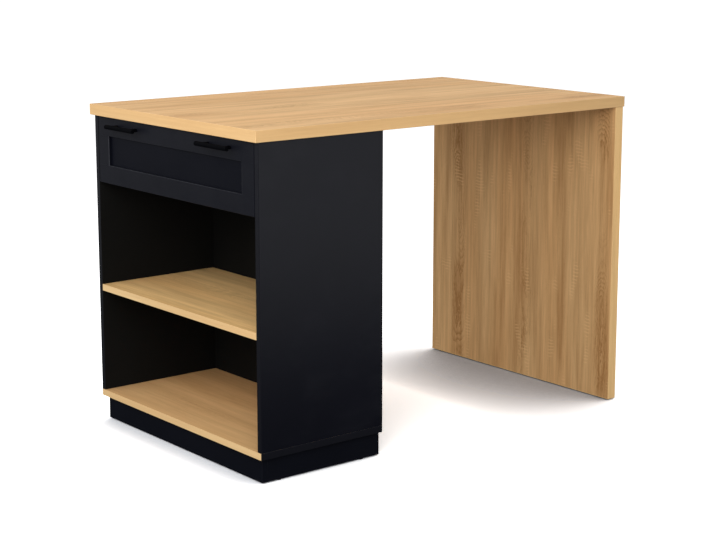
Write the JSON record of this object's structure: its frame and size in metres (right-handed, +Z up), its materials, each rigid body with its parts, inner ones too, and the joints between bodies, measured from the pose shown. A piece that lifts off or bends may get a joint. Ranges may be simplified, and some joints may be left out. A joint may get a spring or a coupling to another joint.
{
  "type": "kitchen island unit",
  "caption": "Kitchen island with an oak worktop on a black cabinet and a panel leg; the cabinet's end has an inset framed drawer on ball runners over open shelves.",
  "frame": {"origin": "on the floor, under the middle of the whole length, handles included, and on the middle of the width", "axes": "+X runs along the worktop from the drawer end to the leg panel, +Y runs across it from the near side to the far side, +Z is up; the drawer opens towards -X"},
  "size_m": [1.318, 0.79, 0.9],
  "materials": {
    "oak": "oak grain board, matt with a fine embossed grain",
    "black_board": "smooth matt black faced board",
    "black_paint": "satin black painted frame and panel",
    "black_metal": "semi-matt black coated bar",
    "zinc_steel": "bright zinc plated steel",
    "dark_plastic": "matt dark plastic"
  },
  "bodies": {
    "island": {"worktop": "oak", "leg_panel": "oak", "bottom_board": "oak", "middle_shelf": "oak", "side_panel_near": "black_board", "side_panel_far": "black_board", "back_panel": "black_board", "plinth_front": "black_board", "plinth_back": "black_board", "plinth_near": "black_board", "plinth_far": "black_board", "stretcher_front": "black_board", "stretcher_back": "black_board", "plinth_glide_near_1": "dark_plastic", "plinth_glide_near_2": "dark_plastic", "plinth_glide_far_1": "dark_plastic", "plinth_glide_far_2": "dark_plastic", "leg_glide_near": "dark_plastic", "leg_glide_far": "dark_plastic", "shelf_pin_near_1": "zinc_steel", "shelf_pin_near_2": "zinc_steel", "shelf_pin_far_1": "zinc_steel", "shelf_pin_far_2": "zinc_steel", "worktop_screw_1": "zinc_steel", "worktop_screw_2": "zinc_steel", "worktop_screw_3": "zinc_steel", "worktop_screw_4": "zinc_steel", "cam_lock_1": "zinc_steel", "cam_lock_2": "zinc_steel", "cam_lock_3": "zinc_steel", "cam_bolt_1": "zinc_steel", "cam_bolt_2": "zinc_steel", "cam_bolt_3": "zinc_steel", "runner_cabinet_near": "zinc_steel", "runner_cabinet_far": "zinc_steel"},
    "drawer": {"front_rail_bottom": "black_paint", "front_rail_top": "black_paint", "front_stile_near": "black_paint", "front_stile_far": "black_paint", "front_panel": "black_paint", "handle_near": "black_metal", "handle_far": "black_metal", "handle_screw_1": "zinc_steel", "handle_screw_2": "zinc_steel", "handle_screw_3": "zinc_steel", "handle_screw_4": "zinc_steel", "box_side_near": "black_board", "box_side_far": "black_board", "box_front": "black_board", "box_back": "black_board", "box_bottom": "black_board", "runner_drawer_near": "zinc_steel", "runner_drawer_far": "zinc_steel"},
    "middle_member_near": {"runner_middle_near": "zinc_steel"},
    "outer_balls_near": {"ball_retainer_outer_near": "zinc_steel"},
    "inner_balls_near": {"ball_retainer_inner_near": "zinc_steel"},
    "middle_member_far": {"runner_middle_far": "zinc_steel"},
    "outer_balls_far": {"ball_retainer_outer_far": "zinc_steel"},
    "inner_balls_far": {"ball_retainer_inner_far": "zinc_steel"}
  },
  "joints": [
    {"name": "drawer_slide", "type": "slide", "parent": "island", "child": "drawer", "axis": [-1, 0, 0], "range_m": [0, 0.34]},
    {"name": "middle_member_near_slide", "type": "slide", "parent": "island", "child": "middle_member_near", "axis": [-1, 0, 0], "range_m": [0, 0.17]},
    {"name": "outer_balls_near_slide", "type": "slide", "parent": "island", "child": "outer_balls_near", "axis": [-1, 0, 0], "range_m": [0, 0.085]},
    {"name": "inner_balls_near_slide", "type": "slide", "parent": "island", "child": "inner_balls_near", "axis": [-1, 0, 0], "range_m": [0, 0.255]},
    {"name": "middle_member_far_slide", "type": "slide", "parent": "island", "child": "middle_member_far", "axis": [-1, 0, 0], "range_m": [0, 0.17]},
    {"name": "outer_balls_far_slide", "type": "slide", "parent": "island", "child": "outer_balls_far", "axis": [-1, 0, 0], "range_m": [0, 0.085]},
    {"name": "inner_balls_far_slide", "type": "slide", "parent": "island", "child": "inner_balls_far", "axis": [-1, 0, 0], "range_m": [0, 0.255]}
  ],
  "couplings": [
    {"joint": "middle_member_near_slide", "follows": "drawer_slide", "ratio": 0.5},
    {"joint": "outer_balls_near_slide", "follows": "drawer_slide", "ratio": 0.25},
    {"joint": "inner_balls_near_slide", "follows": "drawer_slide", "ratio": 0.75},
    {"joint": "middle_member_far_slide", "follows": "drawer_slide", "ratio": 0.5},
    {"joint": "outer_balls_far_slide", "follows": "drawer_slide", "ratio": 0.25},
    {"joint": "inner_balls_far_slide", "follows": "drawer_slide", "ratio": 0.75}
  ]
}
